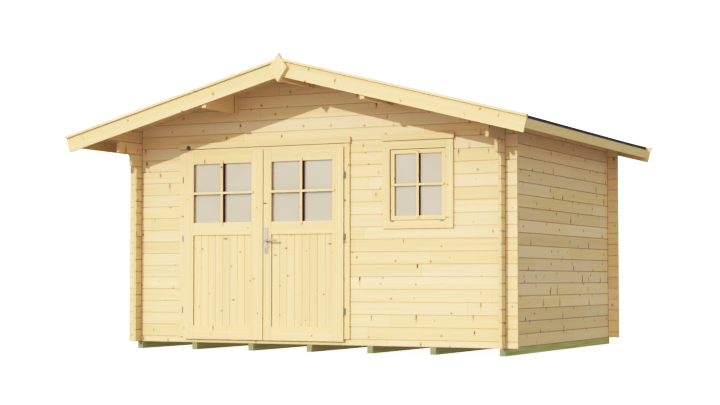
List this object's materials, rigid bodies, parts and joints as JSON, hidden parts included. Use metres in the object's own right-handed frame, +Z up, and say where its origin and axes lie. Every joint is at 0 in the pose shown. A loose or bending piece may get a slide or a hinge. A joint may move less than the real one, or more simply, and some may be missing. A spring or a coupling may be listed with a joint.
{
  "type": "log garden house",
  "caption": "Garden house of interlocking spruce logs on treated bearers, with a glazed double door, a window and a low gable roof that overhangs the front.",
  "frame": {"origin": "on the ground under the middle bearer, at the middle of the walls' outline", "axes": "+X to the right along the front, +Y from the front to the back, +Z up"},
  "size_m": [4.6592, 3.799, 2.6758],
  "materials": {
    "spruce": "planed, untreated",
    "treated_pine": "sawn, green pressure treatment",
    "roofing_felt": "mineral bitumen felt",
    "glass": "clear pane",
    "steel": "satin"
  },
  "bodies": {
    "house": {"bearers": "treated_pine", "floor": "spruce", "left_wall": "spruce", "left_corbel_logs": "spruce", "right_wall": "spruce", "right_corbel_logs": "spruce", "rear_wall": "spruce", "rear_gable": "spruce", "front_base_log": "spruce", "front_wall_left": "spruce", "front_wall_middle": "spruce", "front_wall_under_window": "spruce", "front_wall_right": "spruce", "front_gable": "spruce", "ridge_purlin": "spruce", "left_purlin": "spruce", "right_purlin": "spruce", "left_roof_boards": "spruce", "right_roof_boards": "spruce", "left_roof_felt": "roofing_felt", "right_roof_felt": "roofing_felt", "front_left_bargeboard": "spruce", "front_right_bargeboard": "spruce", "rear_left_bargeboard": "spruce", "rear_right_bargeboard": "spruce", "front_cover_strip": "spruce", "rear_cover_strip": "spruce", "left_fascia": "spruce", "right_fascia": "spruce", "ridge_finial": "spruce", "door_left_jamb": "spruce", "door_right_jamb": "spruce", "door_head": "spruce", "door_sill": "spruce", "frame_hinges": "steel", "window_frame": "spruce", "window_sash": "spruce", "window_glass": "glass"},
    "left_door": {"left_leaf_frame": "spruce", "left_leaf_panel": "spruce", "left_leaf_glass": "glass", "left_leaf_hinges": "steel"},
    "right_door": {"right_leaf_frame": "spruce", "right_leaf_panel": "spruce", "right_leaf_glass": "glass", "right_leaf_hinges": "steel", "handle_plates": "steel"},
    "lever": {"lever_handle": "steel"}
  },
  "joints": [
    {"name": "left_door_hinge", "type": "hinge", "parent": "house", "child": "left_door", "pos_m": [-1.375, -1.533, 1.054], "axis": [0, 0, -1], "range_deg": [0, 150]},
    {"name": "right_door_hinge", "type": "hinge", "parent": "house", "child": "right_door", "pos_m": [0.353, -1.533, 1.054], "axis": [0, 0, 1], "range_deg": [0, 150]},
    {"name": "lever_turn", "type": "hinge", "parent": "right_door", "child": "lever", "pos_m": [-0.458, -1.54, 1.029], "axis": [0, 1, 0], "range_deg": [0, 40], "stiffness_Nm_per_rad": 2, "springref_deg": -22.92}
  ]
}
